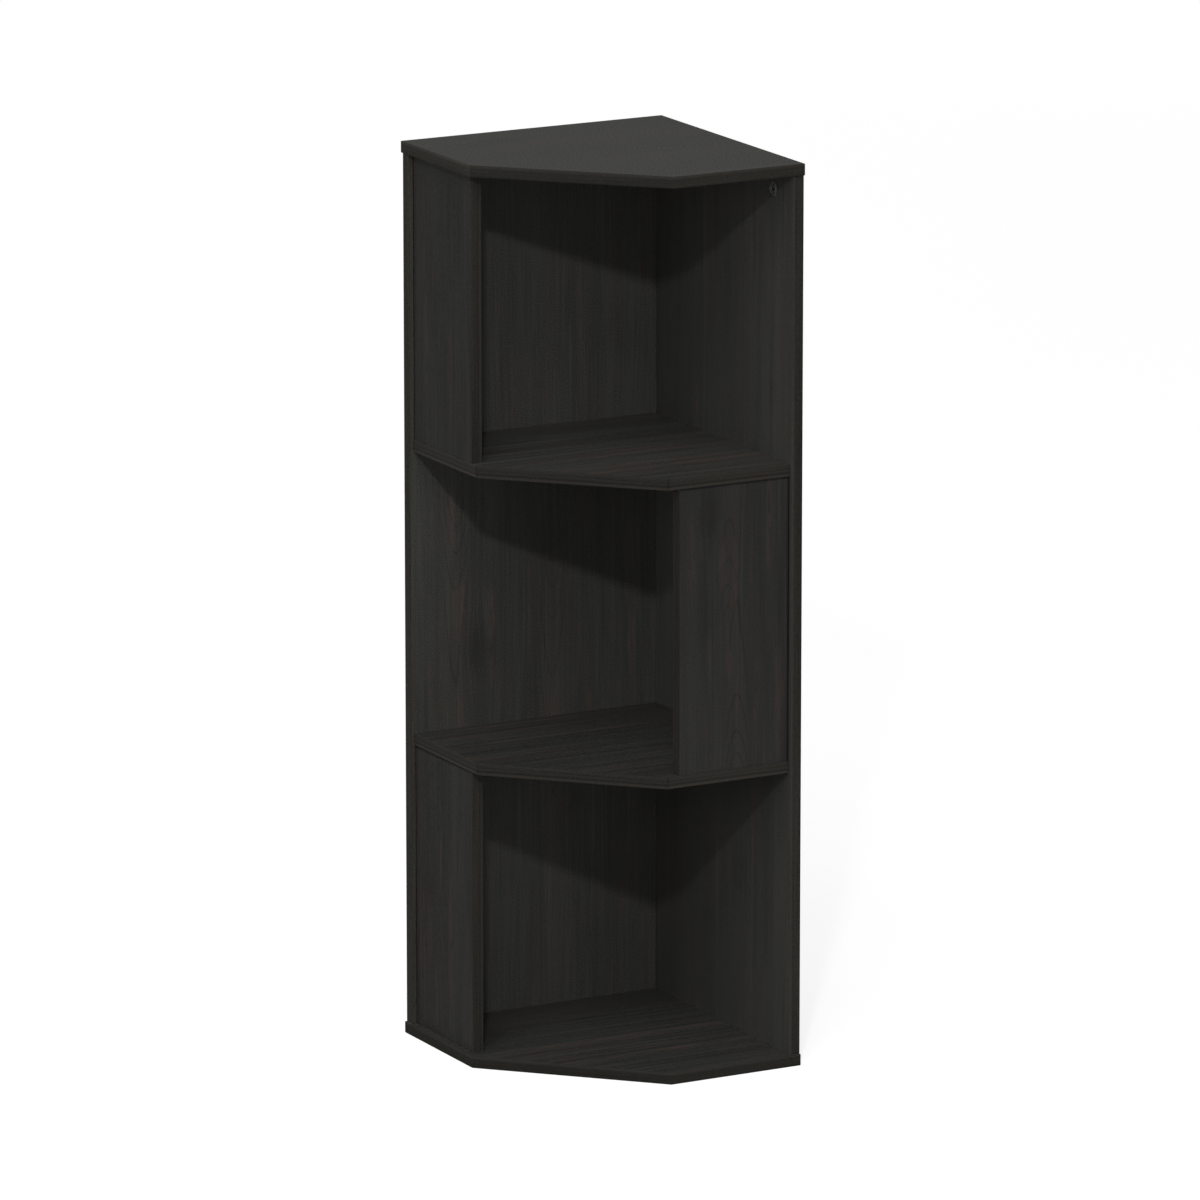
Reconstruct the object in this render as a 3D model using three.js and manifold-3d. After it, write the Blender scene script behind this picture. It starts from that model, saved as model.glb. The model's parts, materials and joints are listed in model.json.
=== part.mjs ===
// Corner shelf unit: two wall panels meet at the back corner and carry five-sided boards, with one
// short upright in each tier. The top is held down by cam locks, the rest by screws and dowels.
// Millimetres, +Z up, origin at the centre of the footprint on the floor. The wall panels lie along
// the +Y side (back) and the -X side (side), so the open front faces +X and -Y.

import * as THREE from "three";
import { mergeVertices } from "three/addons/utils/BufferGeometryUtils.js";
import Module from "manifold-3d";

const wasm = await Module();
wasm.setup();

// Boards
const boardThickness = 12;
const tierHeight = 292;
const panelWing = 296; // top and bottom panels, along each wall
const panelFrontCut = 148; // length that the front corner takes off each of their sides
const shelfSetback = 6; // shelf edge, behind the edge of the top and bottom panels
const shelfFrontCut = 139;
const wallSetback = 2; // ends of the wall panels, behind that same edge
const uprightSetback = 1; // outer face of an upright, behind the edge of the shelf
const uprightWidth = 125;
const cornerRadius = 4; // in plan, at the two front corners
const bandThickness = 1;

// Clearances
const jointGap = 0.1; // hairline where one board butts another
const glueGap = 0.05; // glue line behind an edge band
const fitGap = 0.3; // round a fixing in its hole, and a cam lock in its bore
const overrun = 2; // how far a cutter runs past the face that it opens

// Countersunk screws
const screwLength = 35;
const screwRadius = 1.75;
const screwHeadRadius = 3.6;
const screwHeadHeight = 2.4;
const screwTipLength = 4;
const screwSink = 0.3; // head below the face of the board
const screwShares = [0.2, 0.8]; // places along the side of a shelf
const cornerScrewShares = [0.1, 0.5, 0.9]; // places up the height of the wall panels

// Dowels
const dowelRadius = 3;
const dowelLength = 25;
const dowelFromWall = 32; // from the wall panel, along an upright
const faceBoreShare = 2 / 3; // depth of a blind hole in the face of a board, of its thickness
const tipChamfer = 0.8; // at the ends of dowels and bolts

// Cam locks, seen on the inner faces of the wall panels and uprights
const camRadius = 7.5;
const camFromEdge = 20; // centre, below the top edge of its board
const camFromEnd = 42; // centre, from the front end or from the inner corner
const camFloor = 2; // board left behind the bore
const camSink = 0.2; // face of the cam below the face of the board
const camChamfer = 0.4;
const camUnlockTurn = 200; // degrees
const camPull = 0.8; // how far the jaw draws the bolt in over that turn
const crossLength = 7;
const crossWidth = 1.5;
const crossDepthShare = 0.65; // of the cam's cap

// Cam bolts, screwed up into the board above
const boltThreadRadius = 2.6;
const boltCollarRadius = 3.2;
const boltCollarHeight = 1;
const boltShankRadius = 2.5;
const boltNeckRadius = 1.8;
const boltHeadRadius = 3;
const boltHeadOffset = 1.6; // centre of the head, short of the cam's axis
const boltNeckMargin = 1; // neck that shows outside the rim of the cam
const headProfileShares = [1 / 3, 1 / 2, 2 / 3, 5 / 6]; // of a half turn round the ball of the head

// Facets
const fixingSides = 10;
const camSides = 28;
const scrollSteps = 24;
const cornerSteps = 3;

const espresso = "#35322f";
const espressoEdge = "#393633";
const zinc = "#8b8c8a";
const steel = "#9a9a98";
const beech = "#c49a68";

// Places that follow from the driving dimensions. X runs along the back wall and Y down the side
// wall, both from the back corner, so places on the boards have negative Y.
const wallEnd = panelWing - wallSetback;
const wallFoot = boardThickness + jointGap;
const tierCount = 3;
const tierStep = tierHeight + boardThickness;
const wallTop = tierCount * tierStep - jointGap;
const shelfStart = boardThickness + jointGap;
const shelfEnd = panelWing - shelfSetback;
const uprightOuter = shelfEnd - uprightSetback;
const uprightMiddle = uprightOuter - boardThickness / 2;
const uprightEnd = boardThickness + uprightWidth;
const bandInset = bandThickness + glueGap;
const up = new THREE.Vector3(0, 0, 1);

const unit = new THREE.Group();
unit.position.set(-panelWing / 2, panelWing / 2, 0);

function solidOf(geometry) {
  const bare = geometry.clone();
  bare.deleteAttribute("normal");
  bare.deleteAttribute("uv");
  const merged = mergeVertices(bare);
  return new wasm.Manifold(
    new wasm.Mesh({
      numProp: 3,
      vertProperties: merged.attributes.position.array,
      triVerts: new Uint32Array(merged.index.array),
    }),
  );
}

function geometryOf(solid) {
  const mesh = solid.getMesh();
  const geometry = new THREE.BufferGeometry();
  geometry.setAttribute("position", new THREE.BufferAttribute(mesh.vertProperties, 3));
  geometry.setIndex(new THREE.BufferAttribute(mesh.triVerts, 1));
  const flat = geometry.toNonIndexed();
  flat.computeVertexNormals();
  return flat;
}

function addPiece(name, geometry, colour, roughness, metalness) {
  const material = new THREE.MeshStandardMaterial({ color: colour, roughness, metalness });
  const mesh = new THREE.Mesh(geometry, material);
  mesh.name = name;
  unit.add(mesh);
  return mesh;
}

// Boards are drawn from their own low corner and kept with the holes that the fixings ask for.
const boards = new Map();

function addBoard(name, geometry, corner) {
  boards.set(name, { geometry, corner, cutters: [] });
}

function bore(name, cutter, placement) {
  boards.get(name).cutters.push(cutter.clone().applyMatrix4(placement));
}

function box(width, depth, height) {
  return new THREE.BoxGeometry(width, depth, height).translate(width / 2, -depth / 2, height / 2);
}

// The front of a five-sided board, from the back wall round both front corners to the side wall.
// Inset moves all three sides in by the same distance.
function frontPoints(start, end, frontCut, inset) {
  const side = end - inset;
  const cut = frontCut - inset * (2 - Math.SQRT2);
  const radius = cornerRadius - inset;
  const tangentPoint = side - cut - radius * Math.tan(Math.PI / 8);
  const corner = (x, y, from) =>
    Array.from({ length: cornerSteps + 1 }, (_, step) => {
      const angle = from - ((Math.PI / 4) * step) / cornerSteps;
      return new THREE.Vector2(x + radius * Math.cos(angle), y + radius * Math.sin(angle));
    });
  return [
    new THREE.Vector2(side, -start),
    ...corner(side - radius, -tangentPoint, 0),
    ...corner(tangentPoint, radius - side, -Math.PI / 4),
    new THREE.Vector2(start, -side),
  ];
}

function extruded(shape, thickness) {
  return new THREE.ExtrudeGeometry(shape, { depth: thickness, bevelEnabled: false });
}

// Top and bottom panels: banded all round
function panelOutline(inset) {
  return [
    new THREE.Vector2(inset, -inset),
    ...frontPoints(inset, panelWing, panelFrontCut, inset),
  ];
}

function addPanel(name, z) {
  const corner = new THREE.Vector3(0, 0, z);
  addBoard(name, extruded(new THREE.Shape(panelOutline(bandInset)), boardThickness), corner);
  const ring = new THREE.Shape(panelOutline(0));
  ring.holes.push(new THREE.Path(panelOutline(bandThickness).reverse()));
  const band = addPiece(name + "_edge_band", extruded(ring, boardThickness), espressoEdge, 0.5, 0);
  band.position.copy(corner);
}

// Shelves: cut square against the wall panels and banded along the three open sides
function addShelf(name, z) {
  const corner = new THREE.Vector3(0, 0, z);
  const front = (inset) => frontPoints(shelfStart, shelfEnd, shelfFrontCut, inset);
  const back = new THREE.Vector2(shelfStart, -shelfStart);
  addBoard(name, extruded(new THREE.Shape([back, ...front(bandInset)]), boardThickness), corner);
  const strip = new THREE.Shape([...front(0), ...front(bandThickness).reverse()]);
  const band = addPiece(name + "_edge_band", extruded(strip, boardThickness), espressoEdge, 0.5, 0);
  band.position.copy(corner);
}

// A straight strip of band, placed by its low corner
function addStrip(name, width, depth, height, corner) {
  const band = addPiece(name, box(width, depth, height), espressoEdge, 0.5, 0);
  band.position.copy(corner);
}

function addWallPanels() {
  const height = wallTop - wallFoot;
  addBoard(
    "back_panel",
    box(wallEnd - 2 * bandInset, boardThickness, height),
    new THREE.Vector3(bandInset, 0, wallFoot),
  );
  addStrip(
    "back_panel_end_band",
    bandThickness,
    boardThickness,
    height,
    new THREE.Vector3(wallEnd - bandThickness, 0, wallFoot),
  );
  addStrip(
    "back_panel_corner_band",
    bandThickness,
    boardThickness,
    height,
    new THREE.Vector3(0, 0, wallFoot),
  );
  addBoard(
    "side_panel",
    box(boardThickness, wallEnd - bandInset - shelfStart, height),
    new THREE.Vector3(0, -shelfStart, wallFoot),
  );
  addStrip(
    "side_panel_end_band",
    boardThickness,
    bandThickness,
    height,
    new THREE.Vector3(0, -(wallEnd - bandThickness), wallFoot),
  );
}

// An upright stands either against the side panel, across X, or against the back panel, across Y.
function addUpright(name, floorZ, alongX) {
  const height = tierHeight - 2 * jointGap;
  const length = uprightEnd - bandInset - shelfStart;
  const foot = floorZ + jointGap;
  const inner = uprightOuter - boardThickness;
  const bandStart = uprightEnd - bandThickness;
  if (alongX) {
    addBoard(name, box(length, boardThickness, height), new THREE.Vector3(shelfStart, -inner, foot));
    const corner = new THREE.Vector3(bandStart, -inner, foot);
    addStrip(name + "_edge_band", bandThickness, boardThickness, height, corner);
  } else {
    addBoard(name, box(boardThickness, length, height), new THREE.Vector3(inner, -shelfStart, foot));
    const corner = new THREE.Vector3(inner, -bandStart, foot);
    addStrip(name + "_edge_band", boardThickness, bandThickness, height, corner);
  }
}

// A turned profile of [radius, height] pairs, from the axis out and back to it, along +Z
function turned(profile, sides) {
  const points = profile.map(([radius, height]) => new THREE.Vector2(radius, height));
  return new THREE.LatheGeometry(points, sides).rotateX(Math.PI / 2);
}

function rod(radius, low, high, sides) {
  return turned([[0, low], [radius, low], [radius, high], [0, high]], sides);
}

function placed(point, direction) {
  const turn = new THREE.Quaternion().setFromUnitVectors(up, direction);
  return new THREE.Matrix4().compose(point, turn, new THREE.Vector3(1, 1, 1));
}

function addFixing(name, geometry, placement, colour, roughness, metalness) {
  addPiece(name, geometry, colour, roughness, metalness).applyMatrix4(placement);
}

// Screws: the head sinks into the first board and the point ends in the edge of the second.
const screwShape = turned(
  [
    [0, screwSink],
    [screwHeadRadius, screwSink],
    [screwRadius, screwSink + screwHeadHeight],
    [screwRadius, screwLength - screwTipLength],
    [0, screwLength],
  ],
  fixingSides,
);
const screwHole = turned(
  [
    [0, -overrun],
    [screwHeadRadius + fitGap, -overrun],
    [screwHeadRadius + fitGap, screwSink + fitGap],
    [screwRadius + fitGap, screwSink + screwHeadHeight + fitGap],
    [screwRadius + fitGap, screwLength - screwTipLength],
    [0, screwLength + 2 * fitGap],
  ],
  fixingSides,
);

function addScrew(name, point, direction, boardNames) {
  const placement = placed(point, direction);
  addFixing(name, screwShape, placement, steel, 0.35, 1);
  boardNames.forEach((board) => bore(board, screwHole, placement));
}

// Dowels: the short end sits in the face of a board, the rest in the edge of the other.
const dowelFaceDepth = boardThickness * faceBoreShare;
const dowelShape = turned(
  [
    [0, -dowelFaceDepth],
    [dowelRadius - tipChamfer, -dowelFaceDepth],
    [dowelRadius, tipChamfer - dowelFaceDepth],
    [dowelRadius, dowelLength - dowelFaceDepth - tipChamfer],
    [dowelRadius - tipChamfer, dowelLength - dowelFaceDepth],
    [0, dowelLength - dowelFaceDepth],
  ],
  fixingSides,
);
const dowelHole = rod(
  dowelRadius + fitGap,
  -dowelFaceDepth - fitGap,
  dowelLength - dowelFaceDepth + fitGap,
  fixingSides,
);

function addDowel(name, point, direction, boardNames) {
  const placement = placed(point, direction);
  addFixing(name, dowelShape, placement, beech, 0.7, 0);
  boardNames.forEach((board) => bore(board, dowelHole, placement));
}

// Cam bolts: threaded into the board above, with a collar under its face, a waist that the cam's
// jaws close round, and a round head just short of the cam's axis.
const boltThreadLength = boardThickness * faceBoreShare;
const boltNeckStart = camFromEdge - camRadius - boltNeckMargin;
const boltHeadCentre = camFromEdge - boltHeadOffset;
const headAngles = [
  Math.asin(boltNeckRadius / boltHeadRadius),
  ...headProfileShares.map((share) => share * Math.PI),
];
const boltShape = turned(
  [
    [0, -boltThreadLength],
    [boltThreadRadius - tipChamfer, -boltThreadLength],
    [boltThreadRadius, tipChamfer - boltThreadLength],
    [boltThreadRadius, fitGap],
    [boltCollarRadius, fitGap],
    [boltCollarRadius, fitGap + boltCollarHeight],
    [boltShankRadius, fitGap + boltCollarHeight],
    [boltShankRadius, boltNeckStart],
    [boltNeckRadius, boltNeckStart],
    ...headAngles.map((angle) => [
      boltHeadRadius * Math.sin(angle),
      boltHeadCentre - boltHeadRadius * Math.cos(angle),
    ]),
    [0, boltHeadCentre - boltHeadRadius * Math.cos(headAngles.at(-1))],
  ],
  fixingSides,
);
const boltFaceHole = rod(boltThreadRadius + fitGap, -boltThreadLength - fitGap, overrun, fixingSides);
const boltEdgeHole = rod(
  Math.max(boltCollarRadius, boltHeadRadius) + fitGap,
  -overrun,
  camFromEdge,
  fixingSides,
);

// Cam locks, drawn with +Z out of the board's face and +Y towards the bolt. A scroll-shaped hollow,
// open at the bottom, holds the bolt's head. A slot through the rim lets the waist pass while the
// cam turns, and ends in a mouth where the head comes out.
const boltDepth = boardThickness / 2;
const camBottom = boardThickness - camFloor - fitGap;
const capBottom = boltDepth - boltHeadRadius - fitGap;
const slotHalf = boltNeckRadius + fitGap;
const headReach = Math.sqrt(boltHeadRadius ** 2 - slotHalf ** 2);
const jawRadius = boltHeadOffset + headReach + fitGap;
const lockedAngle = Math.PI / 2;
const unlockedAngle = lockedAngle - THREE.MathUtils.degToRad(camUnlockTurn);

// The scroll opens steadily from the locked angle round to the mouth, and closes again beyond it.
function scrollRadius(angle) {
  const turn = THREE.MathUtils.euclideanModulo(lockedAngle - angle, 2 * Math.PI);
  const whole = lockedAngle - unlockedAngle;
  const opening = turn <= whole ? turn / whole : (2 * Math.PI - turn) / (2 * Math.PI - whole);
  return jawRadius + camPull * opening;
}

function camSolid() {
  const body = turned(
    [
      [0, -camBottom],
      [camRadius, -camBottom],
      [camRadius, -camSink - camChamfer],
      [camRadius - camChamfer, -camSink],
      [0, -camSink],
    ],
    camSides,
  );
  const scroll = new THREE.Shape(
    Array.from({ length: scrollSteps }, (_, step) => {
      const angle = (2 * Math.PI * step) / scrollSteps;
      const radius = scrollRadius(angle);
      return new THREE.Vector2(radius * Math.cos(angle), radius * Math.sin(angle));
    }),
  );
  const hollow = extruded(scroll, camBottom + overrun - capBottom).translate(0, 0, -camBottom - overrun);

  // The slot runs on past the locked bolt as far as the sides of its head reach.
  const keep = boltHeadRadius + fitGap;
  const slotEnd = Math.acos(
    (jawRadius ** 2 + boltHeadOffset ** 2 - keep ** 2) / (2 * jawRadius * boltHeadOffset),
  );
  const fan = new THREE.Shape();
  fan.moveTo(0, 0);
  fan.absarc(0, 0, camRadius + overrun, unlockedAngle, lockedAngle + slotEnd, false);
  const slot = new THREE.ExtrudeGeometry(fan, {
    depth: 2 * slotHalf,
    bevelEnabled: false,
    curveSegments: scrollSteps,
  }).translate(0, 0, -boltDepth - slotHalf);

  const mouthLength = camRadius + overrun;
  const mouthHeight = camBottom + overrun - capBottom;
  const mouth = new THREE.BoxGeometry(mouthLength, 2 * keep, mouthHeight)
    .translate(mouthLength / 2, 0, -capBottom - mouthHeight / 2)
    .rotateZ(unlockedAngle);

  const crossDepth = (capBottom - camSink) * crossDepthShare;
  const arm = new THREE.BoxGeometry(crossLength, crossWidth, crossDepth + overrun).translate(
    0,
    0,
    (overrun - crossDepth) / 2 - camSink,
  );
  const cutters = [hollow, slot, mouth, arm, arm.clone().rotateZ(Math.PI / 2)];
  return cutters.reduce((solid, cutter) => solid.subtract(solidOf(cutter)), solidOf(body));
}

const camShape = geometryOf(camSolid());
const camBore = rod(camRadius + fitGap, camFloor - boardThickness, overrun, camSides);

// A cam lock in a standing board, with the bolt above it in the board that it draws down
function addCamLock(board, name, place, normal, boardAbove, edgeHeight) {
  const boltPoint = new THREE.Vector3(place.x, place.y, edgeHeight);
  const down = placed(boltPoint, up.clone().negate());
  addFixing(name + "_cam_bolt", boltShape, down, steel, 0.35, 1);
  bore(boardAbove, boltFaceHole, down);
  bore(board, boltEdgeHole, down);
  const facing = new THREE.Matrix4().makeBasis(up.clone().cross(normal), up, normal);
  facing.setPosition(
    place
      .clone()
      .addScaledVector(normal, boardThickness / 2)
      .setZ(edgeHeight - camFromEdge),
  );
  addFixing(name + "_cam_lock", camShape, facing, zinc, 0.45, 1);
  bore(board, camBore, facing);
}

// The boards, from the floor up
const intoRoom = { back: new THREE.Vector3(0, -1, 0), side: new THREE.Vector3(1, 0, 0) };
const lowerShelfZ = tierStep;
const upperShelfZ = 2 * tierStep;
const topZ = tierCount * tierStep;
addPanel("bottom_panel", 0);
addPanel("top_panel", topZ);
addWallPanels();
addShelf("lower_shelf", lowerShelfZ);
addShelf("upper_shelf", upperShelfZ);

// Uprights alternate sides: against the side panel, the back panel, then the side panel again.
const uprights = [
  { name: "lower_upright", alongX: true, below: "bottom_panel", above: "lower_shelf", z: 0 },
  { name: "middle_upright", alongX: false, below: "lower_shelf", above: "upper_shelf", z: lowerShelfZ },
  { name: "upper_upright", alongX: true, below: "upper_shelf", above: "top_panel", z: upperShelfZ },
];

// A place on the middle plane of an upright, measured from the wall panel that it stands against
function onUpright(upright, fromWall, z) {
  const reach = boardThickness + fromWall;
  return upright.alongX
    ? new THREE.Vector3(reach, -uprightMiddle, z)
    : new THREE.Vector3(uprightMiddle, -reach, z);
}

for (const upright of uprights) {
  const floorZ = upright.z + boardThickness;
  const ceilingZ = upright.z + tierStep;
  addUpright(upright.name, floorZ, upright.alongX);
  const innerSide = upright.alongX ? intoRoom.back.clone().negate() : intoRoom.side.clone().negate();
  const lockPlace = uprightWidth - camFromEnd;
  addCamLock(
    upright.name,
    upright.name,
    onUpright(upright, lockPlace, 0),
    innerSide,
    upright.above,
    ceilingZ,
  );
  addDowel(
    upright.name + "_top_dowel",
    onUpright(upright, dowelFromWall, ceilingZ),
    up.clone().negate(),
    [upright.name, upright.above],
  );
  addDowel(
    upright.name + "_bottom_dowel",
    onUpright(upright, dowelFromWall, floorZ),
    up,
    [upright.name, upright.below],
  );
  addScrew(
    upright.name + "_screw",
    onUpright(upright, lockPlace, upright.z),
    up,
    [upright.name, upright.below],
  );
}

// Wall panels: a point on the middle plane of each, by its distance from the back corner
const walls = [
  { name: "back_panel", short: "back", at: (along, z) => new THREE.Vector3(along, -boardThickness / 2, z) },
  { name: "side_panel", short: "side", at: (along, z) => new THREE.Vector3(boardThickness / 2, -along, z) },
];

for (const wall of walls) {
  const normal = intoRoom[wall.short];
  const lockPlaces = { inner: boardThickness + camFromEnd, outer: wallEnd - camFromEnd };
  for (const [side, along] of Object.entries(lockPlaces)) {
    addCamLock(wall.name, `${wall.name}_${side}`, wall.at(along, 0), normal, "top_panel", topZ);
  }
  screwShares.forEach((share, index) => {
    const along = THREE.MathUtils.lerp(shelfStart, shelfEnd, share);
    const number = index + 1;
    addScrew(`bottom_to_${wall.short}_screw_${number}`, wall.at(along, 0), up, ["bottom_panel", wall.name]);
    for (const [shelf, z] of [["lower_shelf", lowerShelfZ], ["upper_shelf", upperShelfZ]]) {
      const outside = wall
        .at(along, z + boardThickness / 2)
        .addScaledVector(normal, -boardThickness / 2);
      addScrew(`${wall.short}_to_${shelf}_screw_${number}`, outside, normal, [wall.name, shelf]);
    }
  });
}

// The back panel runs through at the corner and is screwed to the edge of the side panel.
cornerScrewShares.forEach((share, index) => {
  const z = THREE.MathUtils.lerp(wallFoot, wallTop, share);
  const point = new THREE.Vector3(boardThickness / 2, 0, z);
  addScrew(`corner_screw_${index + 1}`, point, intoRoom.back, ["back_panel", "side_panel"]);
});

for (const [name, board] of boards) {
  const drilled = board.cutters.reduce(
    (solid, cutter) =>
      solid.subtract(solidOf(cutter.translate(-board.corner.x, -board.corner.y, -board.corner.z))),
    solidOf(board.geometry),
  );
  addPiece(name, geometryOf(drilled), espresso, 0.45, 0).position.copy(board.corner);
}

const cornerShelf = new THREE.Group();
cornerShelf.add(unit);

export default cornerShelf;
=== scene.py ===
# %% [markdown]
# # Corner shelf unit
#
# A corner shelf unit in dark laminated board: two wall panels that meet at the back corner, four
# five-sided boards and a short upright in each of the three tiers. The boards come in from the
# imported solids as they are. This script adds what the solids leave plain: the printed wood grain,
# the rounded edge bands, the cam locks, bolts, screws and dowels in fine detail, the light and the
# camera. We load the frame first and note its size, so that we can prove at the end that nothing
# grew.

import json
import math

import bmesh
import bpy
from mathutils import Matrix, Vector


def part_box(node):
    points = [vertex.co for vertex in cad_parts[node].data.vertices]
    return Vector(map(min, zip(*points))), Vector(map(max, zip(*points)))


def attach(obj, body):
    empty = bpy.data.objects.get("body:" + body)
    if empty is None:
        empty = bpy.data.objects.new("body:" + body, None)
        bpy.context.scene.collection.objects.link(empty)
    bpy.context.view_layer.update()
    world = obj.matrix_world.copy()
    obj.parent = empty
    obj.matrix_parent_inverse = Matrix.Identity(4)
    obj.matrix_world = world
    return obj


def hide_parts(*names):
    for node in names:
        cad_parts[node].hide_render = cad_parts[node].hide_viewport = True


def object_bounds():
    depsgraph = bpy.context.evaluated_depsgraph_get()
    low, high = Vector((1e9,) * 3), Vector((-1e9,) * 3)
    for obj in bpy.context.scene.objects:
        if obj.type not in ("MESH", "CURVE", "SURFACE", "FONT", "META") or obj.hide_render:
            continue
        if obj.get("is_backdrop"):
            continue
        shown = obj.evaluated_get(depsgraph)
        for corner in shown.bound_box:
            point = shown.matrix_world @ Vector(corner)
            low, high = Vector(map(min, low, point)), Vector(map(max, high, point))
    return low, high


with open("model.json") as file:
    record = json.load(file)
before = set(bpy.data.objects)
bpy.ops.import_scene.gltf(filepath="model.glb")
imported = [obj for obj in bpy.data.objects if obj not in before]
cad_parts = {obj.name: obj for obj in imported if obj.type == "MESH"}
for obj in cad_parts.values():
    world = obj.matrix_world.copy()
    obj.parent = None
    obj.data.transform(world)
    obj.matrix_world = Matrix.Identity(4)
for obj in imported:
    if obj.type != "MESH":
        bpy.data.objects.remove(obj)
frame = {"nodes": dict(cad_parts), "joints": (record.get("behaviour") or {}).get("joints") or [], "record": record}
cad_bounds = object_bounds()
mm = 0.001
print("nodes:", len(frame["nodes"]))

# %% [markdown]
# ## Camera
#
# The photograph looks at the open front from a little above, from far away, so the unit's upright
# lines stay nearly parallel. A long lens from almost ten metres gives that. We aim the camera at a
# point on the unit's own middle line and step back from it along the viewing direction.

# %% Camera
camera_azimuth = math.radians(61.8)
camera_elevation = math.radians(13.42)
camera_distance = 9.724
camera_lens = 291.1
farthest_seen = 60
aim_height = 0.4675
aim_aside = -0.0017


def direction(azimuth, elevation):
    """Unit vector towards a place round the object; azimuth 0 is in front of it, on the -Y side."""
    flat = math.cos(elevation)
    return Vector((math.sin(azimuth) * flat, -math.cos(azimuth) * flat, math.sin(elevation)))


def look_from(thing, place, target):
    thing.location = place
    thing.rotation_euler = (target - place).to_track_quat("-Z", "Y").to_euler()


right_of_view = Vector((math.cos(camera_azimuth), math.sin(camera_azimuth), 0))
aim = right_of_view * aim_aside + Vector((0, 0, aim_height))
camera = bpy.data.objects.new("camera", bpy.data.cameras.new("camera"))
bpy.context.scene.collection.objects.link(camera)
look_from(camera, aim + direction(camera_azimuth, camera_elevation) * camera_distance, aim)
camera.data.lens = camera_lens
camera.data.clip_end = farthest_seen
bpy.context.scene.camera = camera
print("camera at", [round(v, 3) for v in camera.location])

# %% [markdown]
# ## Shader sums
#
# Every finish below is built from nodes. Written out one by one, the nodes of a sum hide the sum,
# so we wrap a node's output in a small class whose +, -, *, / and ** add Math nodes, also with a
# plain number on the left, as in 1 - mask. Everything that is not plain arithmetic goes through one
# method, `node`, which takes the node's type, its settings and what its sockets are fed.

# %% A class for shader sums


class Wire:
    """The output of a shader node, with arithmetic that adds Math nodes."""

    def __init__(self, tree, socket=None):
        self.tree = tree
        self.socket = socket

    def node(self, kind, settings=None, inputs=None, out=0):
        made = self.tree.nodes.new(kind)
        for name, value in (settings or {}).items():
            if name == "stops":
                ramp = made.color_ramp
                while len(ramp.elements) < len(value):
                    ramp.elements.new(0.5)
                for element, (place, level) in zip(ramp.elements, value):
                    element.position = place
                    element.color = (level, level, level, 1)
            else:
                setattr(made, name, value)
        for name, value in (inputs or {}).items():
            if isinstance(value, Wire):
                self.tree.links.new(value.socket, made.inputs[name])
            else:
                made.inputs[name].default_value = value
        return Wire(self.tree, None if out is None else made.outputs[out])

    def math(self, operation, *values):
        settings = {"operation": operation}
        return self.node("ShaderNodeMath", settings, dict(enumerate(values)))

    def __add__(self, other):
        return self.math("ADD", self, other)

    def __radd__(self, other):
        return self.math("ADD", other, self)

    def __sub__(self, other):
        return self.math("SUBTRACT", self, other)

    def __rsub__(self, other):
        return self.math("SUBTRACT", other, self)

    def __mul__(self, other):
        return self.math("MULTIPLY", self, other)

    def __rmul__(self, other):
        return self.math("MULTIPLY", other, self)

    def __truediv__(self, other):
        return self.math("DIVIDE", self, other)

    def __rtruediv__(self, other):
        return self.math("DIVIDE", other, self)

    def __pow__(self, other):
        return self.math("POWER", self, other)

    def __rpow__(self, other):
        return self.math("POWER", other, self)

    def step(self, low, high):
        """0 below low, 1 above high and a smooth rise between them."""
        settings = {"interpolation_type": "SMOOTHSTEP"}
        return self.node("ShaderNodeMapRange", settings, {0: self, 1: low, 2: high})

    def unsigned(self):
        """The same number without its sign."""
        return self.math("ABSOLUTE", self)

    def between(self, low, high):
        """A share from 0 to 1 turned into a number from low to high."""
        return self * (high - low) + low

    def swing(self, width):
        """A share from 0 to 1 turned into a swing round zero, width from end to end."""
        return (self - 0.5) * width


print("shader class:", Wire.__name__)

# %% [markdown]
# ## Helpers for materials
#
# A few nodes come up in every finish: the place on the object, an even noise, a mix of two colours
# and a bump. Each gets a short function. The noises are looked up in the object's own frame, in
# metres, so a pattern stays on its piece wherever the piece goes, and needs no unwrapping. Colours
# are written as the eye reads them, 0 to 255, and turned into the linear light that shaders add up.

# %% Helpers for materials


def combine(tree, x, y, z):
    return Wire(tree).node("ShaderNodeCombineXYZ", None, {0: x, 1: y, 2: z})


def place_on(tree):
    """The x, y and z of the point being shaded, in the object's own frame."""
    point = Wire(tree).node("ShaderNodeTexCoord", None, None, 3)
    split = point.node("ShaderNodeSeparateXYZ", None, {0: point})
    return [Wire(tree, split.socket.node.outputs[axis]) for axis in range(3)]


def noise(vector, scale, detail=3.0, roughness=0.5):
    """Even noise from 0 to 1 that varies scale times a metre."""
    inputs = {"Vector": vector, "Scale": scale, "Detail": detail, "Roughness": roughness}
    return vector.node("ShaderNodeTexNoise", None, inputs)


def blend(factor, first, second):
    """Mixes two colours, each a wire or a plain (r, g, b, 1)."""
    settings = {"data_type": "RGBA"}
    return factor.node("ShaderNodeMix", settings, {0: factor, 6: first, 7: second}, 2)


def dim(body, share):
    """The colour times a share, which is a wire or a plain number."""
    return body.node("ShaderNodeVectorMath", {"operation": "SCALE"}, {0: body, 3: share})


def bump(height, strength, distance):
    """Normals bent as if the surface rose and fell with the height, by at most the distance."""
    inputs = {"Strength": strength, "Distance": distance, "Height": height}
    return height.node("ShaderNodeBump", None, inputs)


def new_material(name):
    material = bpy.data.materials.new(name)
    material.use_nodes = True
    tree = material.node_tree
    return material, tree, tree.nodes["Principled BSDF"]


def feed(shader, name, value):
    if isinstance(value, Wire):
        value.tree.links.new(value.socket, shader.inputs[name])
    else:
        shader.inputs[name].default_value = value


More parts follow.
